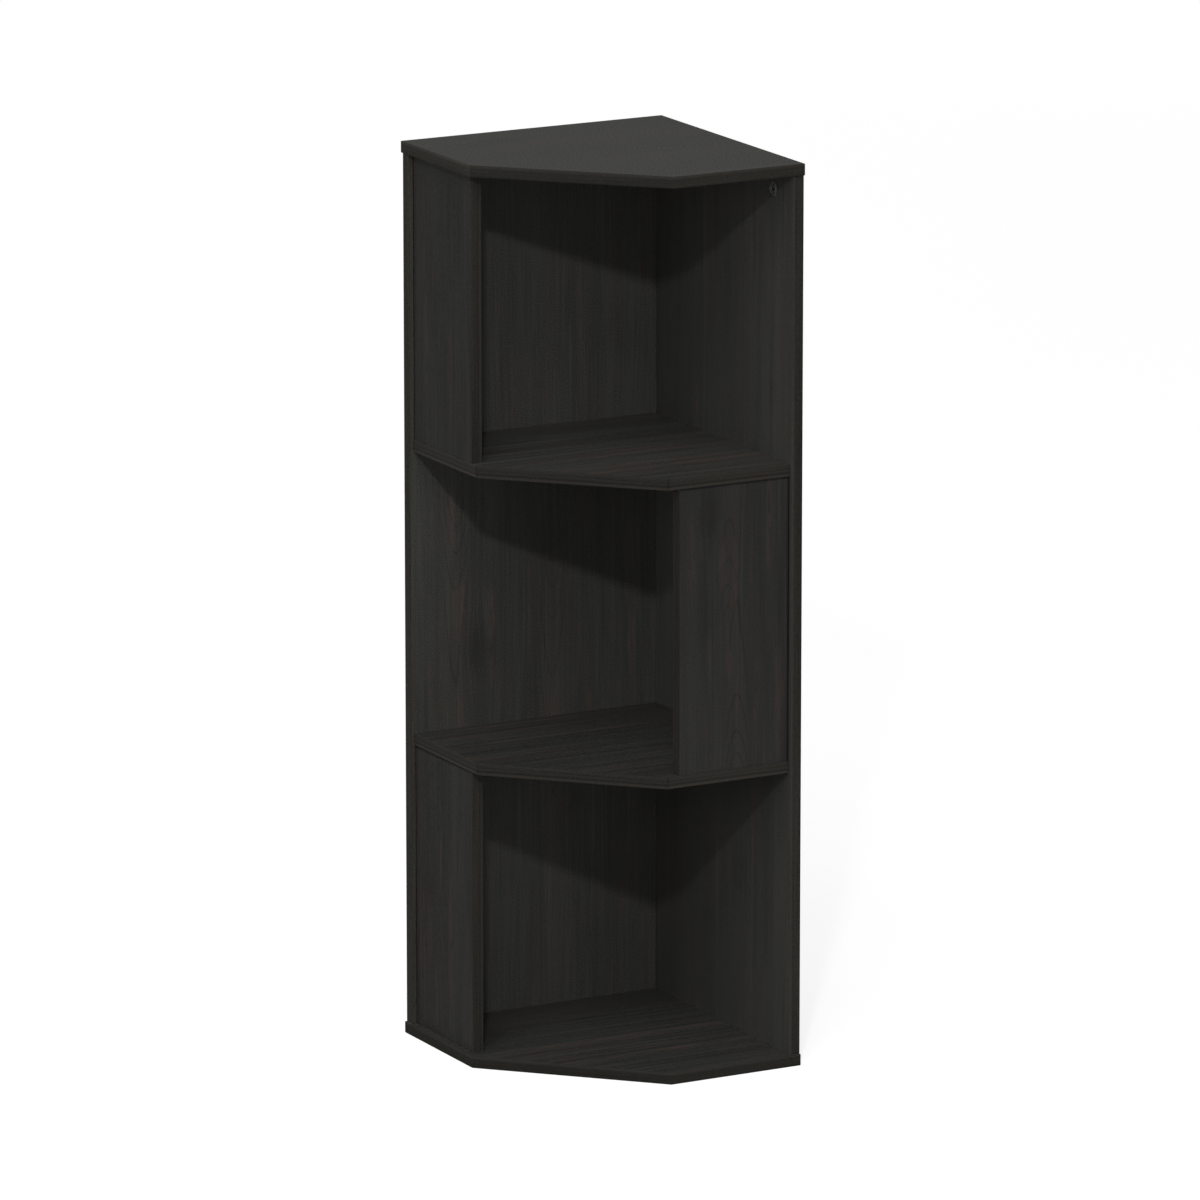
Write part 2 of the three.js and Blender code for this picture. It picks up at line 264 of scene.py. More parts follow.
def colour(red, green, blue, tone_and_light=1.0):
    """A colour from 0 to 255, by the curve that screens use, as linear light times a share. For the
    boards that share is partly their own tone and partly painted light.
    """
    levels = [level / 255 for level in (red, green, blue)]
    linear = [l / 12.92 if l <= 0.04045 else ((l + 0.055) / 1.055) ** 2.4 for l in levels]
    return (*[level * tone_and_light for level in linear], 1)


print("white as a shader takes it:", colour(255, 255, 255))

# %% [markdown]
# ## Streaks of the board print
#
# The boards are chipboard under a printed paper: a black-brown wood with fine streaks along the
# grain and a few warm reddish ones. A wood texture node would give rings, but not this stretched
# print. So we stretch several noises along the grain, each with its own width of streak, and add
# them up later. Each layer says how often it changes in a metre across and along the grain, then
# the detail and roughness of its noise. Where a layer has edges, it is cut hard: nothing of it shows
# below the first value and all of it above the second.

# %% Streaks along the grain
streak_layers = {
    "broad": (24, 3, 2, 0.55),
    "middle": (110, 4, 3, 0.55),
    "fine": (620, 9, 2, 0.65),
    "thin": (260, 4.5, 1, 0.55),
    "pores": (1300, 60, 2, 0.6),
    "patch": (120, 6, 2, 0.55),
    "thread": (280, 3, 1, 0.55),
    "torn": (600, 45, 2, 0.7),
    "gaps": (30, 6, 2, 0.55),
}
streak_edges = {
    "thin": (0.64, 0.78),
    "pores": (0.57, 0.78),
    "patch": (0.52, 0.70),
    "thread": (0.63, 0.75),
    "torn": (0.38, 0.62),
    "gaps": (0.30, 0.50),
}


def streaks(grain, kind):
    """One layer of streaks, 0 to 1. The grain is the place across and along the board, the shift
    that gives each board its own piece of the print, and how coarse that print is."""
    u, w, shift, coarse = grain
    across, along, detail, roughness = streak_layers[kind]
    stretched_u = (u + shift) * (across / coarse)
    stretched_w = w * (along / coarse) + shift
    layer = noise(combine(u.tree, stretched_u, stretched_w, shift * 3), 1.0, detail, roughness)
    return layer.step(*streak_edges[kind]) if kind in streak_edges else layer


print("layers of streaks:", len(streak_layers))

# %% [markdown]
# ## Knots and flames
#
# In real wood the fibres part round a knot and close again behind it, and the wood between is
# darker. Drawing streaks round a knot one by one would be slow. It is easier to bend the place
# across the board before the streaks are looked up: every layer then parts round the knot at once.
# The same trick, with soft clouds in place of knots, lets the streaks sway. The warm flames are
# simply long ovals, where the print shows more red.

# %% Knots, flames and clouds
knot_pull = 0.75
knot_dark = 0.36
knot_fade = 1.5
cloud_scales = {"sway": (9, 2.4), "smudge": (14, 6), "wander": (30, 9)}


def clouds(kind, u, w, seed, aside=0.0):
    """Soft noise, 0 to 1. Its scales say how often it changes in a metre across and along."""
    across, along = cloud_scales[kind]
    return noise(combine(u.tree, u * across + aside, w * along, seed), 1.0, 2.0)


def oval(u, w, middle_u, middle_w, half_width, half_length):
    """How far a point is from an oval's middle, squared: 1 on its outline. The oval's place and
    size are in millimetres."""
    side = (u - middle_u * mm) / (half_width * mm)
    end = (w - middle_w * mm) / (half_length * mm)
    return side * side + end * end


def part_round(knots, u, w, smudge):
    """Bends the place across the board round its knots and adds their dark to the smudge."""
    for middle_u, middle_w, half_width, half_length in knots:
        push = 1 / (1 + oval(u, w, middle_u, middle_w, half_width, half_length) ** knot_fade)
        u = u - (u - middle_u * mm) * push * knot_pull
        smudge = smudge + push * push * knot_dark
    return u, smudge


print("a knot draws the streaks in by", knot_pull)

# %% [markdown]
# ## Arches of growth rings
#
# Where a saw leaves a log at a slant, the growth rings show as nested arches. We make real rings:
# the distance from a log's tilted middle line, cut by the board's plane, and a dark line at each
# whole ring. The distance is divided by how steeply it changes, so that a line has the same width at
# the tip of an arch as along its sides.

# %% Arches
ring_gap = 4.2 * mm
ring_width = 1.1 * mm
ring_depth = 24 * mm
ring_wander = 3.6 * mm
least_radius = 0.5 * mm
least_steepness = 0.12
arches_begin = (0.05, 0.35)
arches_fade = (0.5, 1.0)
arches_broken = (0.4, 1.0)


def arches(grain, centre, start, lean, reach):
    """Where the dark edges of the rings are, and how much of the arches shows there."""
    u, w, shift = grain[:3]
    side = u - centre * mm
    ahead = (w - start * mm) * (lean / ring_depth)
    depth = ahead.math("TANH", ahead) * ring_depth
    wander = clouds("wander", u, w, shift).swing(ring_wander)
    radius = (side * side + depth * depth) ** 0.5 + wander
    fall = 1 - depth * depth / ring_depth**2
    slope = (side * side + (depth * fall * lean) ** 2) ** 0.5
    steepness = slope / (radius + least_radius) + least_steepness
    ring = radius / ring_gap
    off_ring = (ring.math("FRACT", ring) - 0.5).unsigned() * ring_gap / steepness
    dark_edge = 1 - off_ring.step(0, ring_width)
    near = 1 - (side.unsigned() / (reach * mm)).step(*arches_fade)
    whole = streaks(grain, "gaps").between(*arches_broken)
    return dark_edge, near * ahead.step(*arches_begin) * whole


print("rings every", round(ring_gap / mm, 1), "mm")

# %% [markdown]
# ## Tones of the board laminate
#
# What decides the look of the boards is gathered here: the colours of the print, how much each layer
# of streaks counts, and how far shine and surface follow the print. The boards are nearly black, so
# the two greys that the print runs between are only some twenty steps of 255 apart, and the warm red
# is barely brighter than the lighter one.

# %% Tones of the laminate
dark_print = (33, 33, 31)
grey_print = (51, 51, 48)
warm_print = (64, 52, 46)
# The near black that the painted shade in the seams runs to.
seam_shade_black = (8, 8, 8)
plain_weights = {"broad": 0.40, "middle": 0.30, "fine": 0.70}
thin_light = 0.30
pore_dark = 0.22
smudge_dark = 0.16
smudge_edges = (0.60, 0.78)
seam_dark = 1.2
seam_core = 0.4
patch_warmth = 0.24
thread_warmth = 0.32
arch_warmth = 0.06
arch_light = 0.04
most_warmth = 0.6
torn_thread = (0.2, 1.0)
torn_flame = (0.1, 1.0)
patchy_flame = (0.8, 1.2)
flame_fade = (0.1, 1.0)
print_levels = (0.05, 0.95)
black_levels = (-0.9, -0.1)
grit_scale = 850
print_sway = 10 * mm
emboss_depth = 0.12 * mm
emboss_strength = 0.55
grit_relief = 0.6
fine_relief = 0.3
board_roughness = 0.46
fine_roughness = 0.10
grit_roughness = 0.16
board_gloss = 0.2
print("prints:", dark_print, grey_print, warm_print)

# %% [markdown]
# ## Board laminate
#
# Now the layers are added up to one level, dark to light, that runs between the two greys, and a
# second one for the warm red. The paper is pressed on with a fine grain that breaks up its shine, so
# the roughness and a very small bump follow the same noises as the print. Where an upright meets the
# wall or the board above it, a dark seam of painted shade is drawn into the print.

# %% Laminate finish


def laminate(
    name,
    across,
    along,
    shift,
    coarse=1.0,
    contrast=1.0,
    tone_and_light=1.0,
    speckle=1.0,
    emboss=1.0,
    weights=plain_weights,
    lift=0.10,
    logs=(),
    knots=(),
    flames=(),
    seams=(),
):
    """A board's finish. Across and along name the axes that the streaks cross and follow. A knot is
    its middle across and along the board, and half its width and length, in millimetres; so is a
    flame, with its strength. A log is the place of its middle line across the board, the place
    along it where its arches start, how fast the saw left it, how far to each side they show, and
    how dark they are. A seam is a dark line of painted shade: the axis it crosses, its place and
    half its width."""
    material, tree, shader = new_material(name)
    point = place_on(tree)
    u, w = point[across], point[along]
    u = u + clouds("sway", u, w, shift, aside=shift).swing(print_sway)
    smudge = clouds("smudge", u, w, shift + 5).step(*smudge_edges) * smudge_dark
    u, smudge = part_round(knots, u, w, smudge)
    grain = (u, w, shift, coarse)

    layers = {kind: streaks(grain, kind) for kind in weights}
    lines = sum(layers[kind].swing(weight) for kind, weight in weights.items())
    pores = streaks(grain, "pores")
    grit = noise(combine(tree, u + shift, w, shift), grit_scale / coarse**0.5, 1.0, 0.5)
    level = 0.5 + (lines + streaks(grain, "thin") * thin_light - pores * pore_dark) * contrast
    level = level - smudge + grit.swing(speckle)

    patch = streaks(grain, "patch")
    torn = streaks(grain, "torn")
    warm = patch * patch_warmth + streaks(grain, "thread") * thread_warmth
    warm = warm * torn.between(*torn_thread) * contrast
    for *place, strength in flames:
        flame = 1 - oval(u, w, *place).step(*flame_fade)
        warm = warm + flame * torn.between(*torn_flame) * patch.between(*patchy_flame) * strength
        level = level + flame * torn * lift
    for *place, darkness in logs:
        dark_edge, kept = arches(grain, *place)
        level = level - dark_edge * kept * darkness + kept * arch_light
        warm = warm + (1 - dark_edge) * kept * arch_warmth
    # The seams paint shade into the print where an upright meets its wall and under the board above it.
    for axis, place, half_width in seams:
        aside = (point[axis] - place).unsigned()
        level = level - (1 - aside.step(half_width * seam_core, half_width)) * seam_dark

    # Both greys and the warm red are scaled by the board's tone and light: partly its own tone, partly painted
    # light, darker on the uprights in the open and lighter on the walls inside.
    body = blend(level.step(*print_levels), colour(*dark_print, tone_and_light), colour(*grey_print, tone_and_light))
    body = blend(warm.math("MINIMUM", warm, most_warmth), body, colour(*warm_print, tone_and_light))
    # Where the level falls low, mostly in the seams of painted shade, the colour runs to near black.
    feed(shader, "Base Color", blend(level.step(*black_levels), colour(*seam_shade_black), body))
    fine = layers["fine"]
    rough = board_roughness + fine.swing(fine_roughness) + grit.swing(grit_roughness * emboss)
    feed(shader, "Roughness", rough)
    relief = grit * grit_relief + fine * fine_relief - pores * fine_relief
    feed(shader, "Normal", bump(relief, emboss_strength, emboss_depth * emboss))
    feed(shader, "Specular IOR Level", board_gloss)
    return material


print("layers in every laminate:", ", ".join(plain_weights))

# %% [markdown]
# ## Prints of the slabs
#
# The boards are the imported solids, so only their material changes. All are cut from sheets with the
# same print, and no two show the same piece of it, so each gets its own shift. On the slabs the
# streaks run front to back and are coarser. A few warm flames are placed one by one, by the solids'
# own measures, whose origin is on the ground in the middle of the unit's box.

# %% Prints of the slabs
x_axis, y_axis, z_axis = 0, 1, 2
across_slab = {
    "across": x_axis,
    "along": y_axis,
    "coarse": 3.0,
    "contrast": 1.3,
    "speckle": 1.4,
    "weights": {"broad": 0.24, "middle": 0.30, "fine": 1.0},
    "lift": 0.35,
}
# Each board's tone and light scales its print: partly its own tone and partly painted light.
slab_prints = {
    "top_panel": {
        **across_slab,
        "shift": 1.3,
        "contrast": 0.9,
        "tone_and_light": 1.08,
        "speckle": 2.0,
        "emboss": 4.0,
    },
    "bottom_panel": {
        **across_slab,
        "shift": 2.9,
        "tone_and_light": 1.23,
        "logs": [(105, 50, 0.15, 30, 0.3)],
        "flames": [(6, 0, 4, 200, 0.8), (68, 30, 5, 160, 0.8), (45, 20, 3, 130, 0.6)],
    },
    "upper_shelf": {
        **across_slab,
        "shift": 4.1,
        "contrast": 1.6,
        "tone_and_light": 1.36,
        "flames": [(22, -50, 3, 130, 0.6), (85, -40, 5, 70, 0.9), (60, 0, 3, 140, 0.6)],
    },
    "lower_shelf": {
        **across_slab,
        "shift": 5.7,
        "tone_and_light": 1.11,
        "flames": [(-125, 0, 4, 160, 0.7), (-64, -30, 3, 140, 0.8), (45, 10, 3, 80, 0.5)],
    },
}


def print_boards(prints):
    """Gives each board a laminate of its own."""
    for node, choices in prints.items():
        bpy.data.objects[node].material_slots[0].material = laminate("laminate_" + node, **choices)
    print("printed:", ", ".join(prints))


print_boards(slab_prints)

# %% [markdown]
# ## Prints of the walls
#
# On the standing boards the streaks run upwards. What stands out in the photograph is placed one by
# one: two sets of arches on the side wall, a knot low in its middle tier, and warm flames round them.
# The back wall is nearly plain.

# %% Prints of the walls
across_back = {"across": x_axis, "along": z_axis, "coarse": 1.5, "speckle": 2.0}
across_side = {"across": y_axis, "along": z_axis, "speckle": 1.8}
# The walls' tone and light is high: partly their own tone, partly painted light that brightens them inside the
# unit.
wall_prints = {
    "back_panel": {**across_back, "shift": 7.2, "tone_and_light": 1.17, "flames": [(-51, 645, 5, 45, 0.4)]},
    "side_panel": {
        **across_side,
        "shift": 8.6,
        "contrast": 1.1,
        "tone_and_light": 1.36,
        "logs": [(-95, 585, -0.20, 20, 0.24), (15, 520, -0.16, 22, 0.14)],
        "knots": [(-72, 395, 10, 28)],
        "flames": [
            (-100, 530, 8, 40, 0.4),
            (-92, 440, 11, 40, 0.4),
            (-57, 430, 8, 35, 0.45),
            (-55, 370, 5, 25, 0.4),
            (107, 385, 6, 45, 0.5),
            (-123, 530, 3, 45, 0.4),
            (-49, 710, 2, 80, 0.35),
        ],
    },
}
print_boards(wall_prints)

# %% [markdown]
# ## Prints of the uprights
#
# The uprights stand nearest to the camera, so their print shows most. The middle one has two sets of
# arches below a knot, with flames beside them; the lower one has a knot and arches too. Each gets a
# dark seam of painted shade where it meets its wall and another under the board above it.

# %% Prints of the uprights
board_thickness = 12 * mm
board_gap = 0.1 * mm
tier_step = 304 * mm
half_wing = 148 * mm
wall_face = half_wing - board_thickness - board_gap
# How wide the painted shade is at the wall and under the board above.
wall_seam = 2.6 * mm
top_seam = 3.0 * mm


def upright_seams(wall_axis, side, tier):
    """The lines of painted shade where an upright meets its wall and the board above it."""
    return [(wall_axis, side * wall_face, wall_seam), (z_axis, tier * tier_step, top_seam)]


# The uprights' tone and light is low: partly their own tone, partly painted shade that darkens them in the open.
upright_prints = {
    "upper_upright": {
        **across_back,
        "shift": 9.4,
        "contrast": 2.0,
        "tone_and_light": 0.74,
        "seams": upright_seams(x_axis, -1, 3),
        "flames": [
            (-126, 760, 4, 160, 0.45),
            (-108, 700, 3, 90, 0.45),
            (-95, 770, 3, 150, 0.5),
            (-80, 740, 2, 140, 0.4),
            (-45, 680, 3, 70, 0.35),
        ],
    },
    "middle_upright": {
        **across_side,
        "shift": 10.8,
        "contrast": 1.4,
        "tone_and_light": 0.68,
        "seams": upright_seams(y_axis, 1, 2),
        "logs": [(76, 285, 0.25, 17, 0.45), (67, 455, 0.22, 13, 0.40)],
        "knots": [(44, 576, 10, 22)],
        "flames": [
            (26, 540, 6, 55, 0.50),
            (60, 522, 6, 42, 0.65),
            (75, 505, 5, 50, 0.65),
            (113, 565, 4, 70, 0.70),
            (124, 385, 6, 90, 0.65),
            (98, 385, 4, 75, 0.60),
            (23, 370, 3, 60, 0.35),
            (41, 355, 3, 45, 0.25),
            (68, 422, 6, 22, 0.40),
        ],
    },
    "lower_upright": {
        **across_back,
        "shift": 12.5,
        "contrast": 1.8,
        "tone_and_light": 0.78,
        "seams": upright_seams(x_axis, -1, 1),
        "logs": [(-70, 245, -0.12, 22, 0.28)],
        "knots": [(-105, 168, 11, 26)],
        "flames": [
            (-60, 110, 5, 90, 1.1),
            (-40, 200, 3, 90, 0.9),
            (-90, 60, 4, 50, 0.9),
            (-115, 100, 3, 85, 0.7),
            (-82, 215, 4, 60, 0.8),
            (-22, 100, 3, 70, 0.7),
        ],
    },
}
print_boards(upright_prints)

# %% [markdown]
# ## Skinning rings of points
#
# Bands, screws, dowels and cam locks are all made the same way: a section is drawn again and again
# along a path, and the rings are skinned with faces. Blender's own modifiers could sweep a curve,
# but writing the rings ourselves keeps each corner where the solids have it. Each new mesh then
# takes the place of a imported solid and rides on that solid's body.

# %% Mesh helpers
sharp_from = math.radians(35)


def skin(name, rings, closed_path=False):
    """A mesh through rings of points. The rings close on themselves; an open path gets two caps."""
    shape = bmesh.new()
    rows = [[shape.verts.new(point) for point in ring] for ring in rings]
    count = len(rows[0])
    pairs = list(zip(rows, rows[1:]))
    if closed_path:
        pairs.append((rows[-1], rows[0]))
    for first, second in pairs:
        for k in range(count):
            n = (k + 1) % count
            shape.faces.new((first[k], first[n], second[n], second[k]))
    if not closed_path:
        shape.faces.new(rows[0])
        shape.faces.new(rows[-1])
    bmesh.ops.recalc_face_normals(shape, faces=shape.faces)
    mesh = bpy.data.meshes.new(name)
    shape.to_mesh(mesh)
    shape.free()
    return mesh


def finished(mesh, finish):
    """Shades the mesh smooth up to its sharp edges and gives it one material."""
    mesh.shade_smooth()
    mesh.set_sharp_from_angle(angle=sharp_from)
    mesh.materials.clear()
    mesh.materials.append(finish)
    return mesh


def add_piece(name, mesh, body, node, placement=None):
    """Shows a mesh in place of a node, set where the placement says, riding on the node's body."""
    piece = bpy.data.objects.new(name, mesh)
    bpy.context.scene.collection.objects.link(piece)
    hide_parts(node)
    if placement is not None:
        piece.matrix_world = placement
    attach(piece, body)


print("edges stay sharp from", round(math.degrees(sharp_from)), "degrees")

# %% [markdown]
# ## Print of the edge bands
#
# The raw edges of the boards are covered with a strip of plastic one millimetre thick. Its print is
# a few stripes that follow the edge, lighter and greener than the boards. We could draw each stripe
# as a mask, but a colour ramp over the strip's width holds them all, as pairs of place and level.
# The two shelves have strong stripes, and all other bands the calm ones.

# %% Stripes of the edge bands
band_dark = colour(33, 32, 30)
band_light = colour(66, 64, 58)
band_scales = {"fine": (14, 9), "broad": (1.5, 2.5), "warm": (5, 4)}
band_swings = {"fine": 0.5, "broad": 0.4, "grit": 0.7}
band_grit_scale = 620
band_sway_scale = 6
band_sway = 0.10
second_axis_share = 0.6
band_levels = (0.1, 0.95)
band_warm_edges = (0.52, 0.76)
warm_rim_edges = (0.14, 0.30)
band_warmth = 0.18
band_roughness = 0.58
band_roughness_swing = 0.12
band_gloss = 0.08
band_relief = 0.1 * mm
band_relief_strength = 0.4
tone_change = 1 * mm
wall_side_from = half_wing - 0.6 * mm
wall_side_by = half_wing - 0.4 * mm
repeat_margin = 0.5 * mm
shelf_stripes = [(0.0, 0.60), (0.12, 0.72), (0.22, 0.60), (0.30, 0.34), (0.38, 0.28), (0.46, 0.48)]
shelf_stripes += [(0.58, 0.52), (0.66, 0.30), (0.74, 0.44), (0.90, 0.44), (1.0, 0.56)]
calm_stripes = [(0.0, 0.66), (0.10, 0.68), (0.18, 0.60), (0.27, 0.46), (0.38, 0.40), (0.50, 0.52)]
calm_stripes += [(0.66, 0.42), (0.78, 0.50), (0.90, 0.42), (1.0, 0.48)]
print("stops over a band's width:", len(shelf_stripes), "and", len(calm_stripes))

# %% [markdown]
# ## Finish of the edge bands
#
# The share of the band's width picks the stripe, and a slow noise lets the stripes sway. Finer noises
# break them up and warm them here and there. The photograph shows each side of a shelf in its own
# brightness, so a slab's band has one tone for each open side, told apart by the place on the slab.
# These tones are painted light and shade on one strip of one print: the left side lighter, the front
# darker. The straight bands' tones are partly their own and partly painted light.

# %% Edge band finish


def band_noise(kind, share, length, seed, detail=2.0, roughness=0.5):
    """Noise, 0 to 1. Its scales say how often it changes over the width and in a metre along it."""
    over, along = band_scales[kind]
    vector = combine(share.tree, share * over, length * along, seed)
    return noise(vector, 1.0, detail, roughness)


def band_light_round_slab(point, front, left, right):
    """The painted light and shade of a slab's band at each place: a tone for each open side, and 1
    along the walls.
    """
    x, y = point[x_axis], point[y_axis]
    on_left = 1 - x.step(-tone_change, tone_change)
    on_right = y.step(-tone_change, tone_change)
    outermost = y.math("MAXIMUM", y, 0 - x)
    behind = outermost.step(wall_side_from, wall_side_by)
    band_tone_and_light = front + on_left * (left - front) + on_right * (right - front)
    return band_tone_and_light * (1 - behind) + behind


def band_finish(name, across, low, along, band_tones_and_light, calm=True, mirrored=False):
    """The band's print. Across names the axis over the band's width, which starts at low and is as
    wide as the boards are thick; slabs repeat it at every tier. Along names the two axes that it
    follows. The tones say how bright it is, partly the band's own tone and partly painted light:
    one for a straight band, or three for the front, left and right of a slab, painted light and
    shade for each side. A mirrored band was glued on the other way up."""
    material, tree, shader = new_material(name)
    point = place_on(tree)
    height = point[across] - low
    if across == z_axis:
        height = height.math("MODULO", height + repeat_margin, tier_step) - repeat_margin
    share = 1 - height / board_thickness if mirrored else height / board_thickness
    length = point[along[0]] + point[along[1]] * second_axis_share
    sway = noise(combine(tree, length * band_sway_scale, low, 0), 1.0, 2.0)
    share = share + sway.swing(band_sway)
    stops = {"stops": calm_stripes if calm else shelf_stripes}
    stripes = share.node("ShaderNodeValToRGB", stops, {0: share})
    stripes = stripes.node("ShaderNodeRGBToBW", None, {0: stripes})
    fine = band_noise("fine", share, length, low, 3.0, 0.6)
    broad = band_noise("broad", share, length, low + 3)
    grit = noise(combine(tree, *point), band_grit_scale, 2.0, 0.7)
    level = stripes + fine.swing(band_swings["fine"]) + broad.swing(band_swings["broad"])
    level = level + grit.swing(band_swings["grit"])
    warm = band_noise("warm", share, length, low + 7).step(*band_warm_edges)
    if not calm:
        warm = warm + 1 - share.step(*warm_rim_edges)
    body = blend(level.step(*band_levels), band_dark, band_light)
    body = blend(warm * band_warmth, body, colour(*warm_print))
    # Painted light and shade: the tone brightens or darkens the band, one side of a slab against another.
    band_tone_and_light = band_tones_and_light[0] if len(band_tones_and_light) == 1 else band_light_round_slab(point, *band_tones_and_light)
    feed(shader, "Base Color", dim(body, band_tone_and_light))
    feed(shader, "Roughness", band_roughness + fine.swing(band_roughness_swing))
    feed(shader, "Specular IOR Level", band_gloss)
    feed(shader, "Normal", bump(fine, band_relief_strength, band_relief))
    return material


print("a slab's band repeats every", round(tier_step / mm), "mm")

# %% [markdown]
# ## Section of an edge band
#
# After a band is glued on, both of its long corners are scraped round, and that small curve is what
# catches the light along every edge of the real unit. A bevel modifier would round the ends of the
# band as well, so we draw the section with its two curves and sweep it. All ten bands share it.

# %% Section of a band
band_thickness = 1 * mm
arris_radius = 0.6 * mm
arris_steps = 4


def band_section(width):
    """Pairs of depth behind the outer face and place across the width, both corners rounded."""
    lower = []
    for step in range(arris_steps + 1):
        turn = math.pi / 2 * step / arris_steps
        depth = arris_radius * (1 - math.sin(turn))
        lower.append((depth, arris_radius * (1 - math.cos(turn))))
    upper = [(depth, width - rise) for depth, rise in reversed(lower)]
    return [(band_thickness, 0), *lower, *upper, (band_thickness, width)]


print("points in a band's section:", len(band_section(board_thickness)))

# %% [markdown]
# ## Bands round the slabs
#
# The band of a slab is one strip that bends round the rounded front corners. On the top and the
# bottom it goes all round: the last ring of points joins the first, and the stripes are glued on the
# other way up. On a shelf it ends at the walls. The outlines have the same sizes as the solids, so
# the band closes on the board.

# %% Bands of the top, bottom and shelves
corner_radius = 4 * mm
corner_steps = 8
eighth_turn = math.pi / 4
panel_outline = {"start": 0.0, "end": 296 * mm, "cut": 148 * mm}
shelf_outline = {"start": board_thickness + board_gap, "end": 290 * mm, "cut": 139 * mm}
# The last value of each slab is a tone for its front, left and right band: painted light and shade for each side.
slab_bands = {
    "top_panel": (panel_outline, True, (0.385, 0.755, 0.585)),
    "bottom_panel": (panel_outline, True, (0.43, 0.585, 0.56)),
    "upper_shelf": (shelf_outline, False, (0.43, 0.78, 0.65)),
    "lower_shelf": (shelf_outline, False, (0.474, 0.775, 0.65)),
}


def front_line(start, end, cut, inset):
    """The three open sides of a five-sided board, moved in by inset, from the back wall round both
    front corners to the side wall."""
    side = end - inset
    radius = corner_radius - inset
    near = side - (cut - inset * (2 - math.sqrt(2))) - radius * math.tan(eighth_turn / 2)
    points = [(side, -start)]
    for x, y, turned_by in ((side - radius, -near, 0), (near, radius - side, -eighth_turn)):
        for step in range(corner_steps + 1):
            turn = turned_by - eighth_turn * step / corner_steps
            points.append((x + radius * math.cos(turn), y + radius * math.sin(turn)))
    points.append((start, -side))
    return [(x - half_wing, y + half_wing) for x, y in points]


def swept_band(name, outline, low, high, all_round):
    """A band round a board: one ring for each point of the outline, each ring a whole section."""
    lines = []
    for inset, rise in band_section(high - low):
        start = inset if all_round else outline["start"]
        line = front_line(start, outline["end"], outline["cut"], inset)
        if all_round:
            line = [(inset - half_wing, half_wing - inset), *line]
        lines.append([Vector((x, y, low + rise)) for x, y in line])
    rings = [list(ring) for ring in zip(*lines)]
    return skin(name, rings, closed_path=all_round)


for board, (outline, all_round, band_tones_and_light) in slab_bands.items():
    node = board + "_edge_band"
    low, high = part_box(node)
    mesh = swept_band(node, outline, low.z, high.z, all_round)
    along = (x_axis, y_axis)
    finish = band_finish(node + "_print", z_axis, 0.0, along, band_tones_and_light, all_round, all_round)
    add_piece(board + "_rounded_band", finished(mesh, finish), "carcass", node)
print("bands round slabs:", len(slab_bands))

# %% [markdown]
# ## Bands up the standing boards
#
# The two wall panels and the three uprights have the same band up their ends, only straight. It
# takes two rings, one at the foot and one at the top. The box of the imported solid says where the
# band stands, so we need no sizes of our own. Each entry gives the axis and the side that the band
# looks to, the tone of its print, which is partly painted light, and whether it was glued on the
# other way up.

# %% Bands of the walls and uprights
# The third value is the band's tone, partly its own and partly painted light.
end_bands = {
    "back_panel_end_band": (x_axis, 1, 0.62, False),
    "back_panel_corner_band": (x_axis, -1, 1.0, False),
    "side_panel_end_band": (y_axis, -1, 0.77, False),
    "upper_upright_edge_band": (x_axis, 1, 0.57, True),
    "lower_upright_edge_band": (x_axis, 1, 0.58, True),
    "middle_upright_edge_band": (y_axis, -1, 0.49, False),
}


def straight_band(name, low, high, axis, side):
    """A band whose face looks along an axis, to its plus or minus side."""
    across = y_axis if axis == x_axis else x_axis
    outer = high[axis] if side > 0 else low[axis]
    rings = []
    for z in (low.z, high.z):
        ring = []
        for depth, place in band_section(high[across] - low[across]):
            point = Vector((0, 0, z))
            point[axis] = outer - side * depth
            point[across] = low[across] + place
            ring.append(point)
        rings.append(ring)
    return skin(name, rings)


for node, (axis, side, band_tone_and_light, mirrored) in end_bands.items():
    low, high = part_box(node)
    across = y_axis if axis == x_axis else x_axis
    along = (z_axis, axis)
    finish = band_finish(node + "_print", across, low[across], along, [band_tone_and_light], mirrored=mirrored)
    mesh = finished(straight_band(node, low, high, axis, side), finish)
    add_piece(node.replace("_band", "_rounded_band"), mesh, "carcass", node)
print("bands up boards:", len(end_bands))

# %% [markdown]
# ## Zinc and steel
#
# The cam locks are die-cast zinc: light grey, a little mottled and dull, with painted shade darkening
# their recesses. Screws and cam bolts are plated steel, smoother and brighter. All are small, so
# their detail has to be fine as well: the noises change some hundred times in a metre. A picture of
# worn metal wrapped round each piece would do too, but noise needs no unwrapping.

# %% Zinc and steel
# Near black painted into the cam locks' recesses as shade.
recess_painted_shade = colour(20, 20, 20)
recess_shade_begins = 0.22 * mm
recess_shade_closes = 0.8 * mm
fine_to_mottled = 7
mottled_share = 0.7
metal_levels = (0.3, 0.7)
metal_roughness_swing = 0.25
metal_relief = 0.04 * mm
metal_relief_strength = 0.3


def metal_finish(name, dull, bright, rough, grain, shaded_recess=False):
    """A mottled metal, its grain in changes to a metre. With a shaded recess, painted shade closes over
    the metal below its face."""
    material, tree, shader = new_material(name)
    x, y, z = place_on(tree)
    point = combine(tree, x, y, z)
    mottled = noise(point, grain, 4.0, 0.6)
    fine = noise(point, grain * fine_to_mottled, 2.0, 0.5)
    level = mottled * mottled_share + fine * (1 - mottled_share)
    body = blend(level.step(*metal_levels), dull, bright)
    # Painted shade: below the face, the colour closes to near black in the recesses.
    if shaded_recess:
        body = blend((0 - z).step(recess_shade_begins, recess_shade_closes), body, recess_painted_shade)
    feed(shader, "Base Color", body)
    feed(shader, "Metallic", 1.0)
    feed(shader, "Roughness", rough + mottled.swing(metal_roughness_swing))
    feed(shader, "Normal", bump(level, metal_relief_strength, metal_relief))
    return material


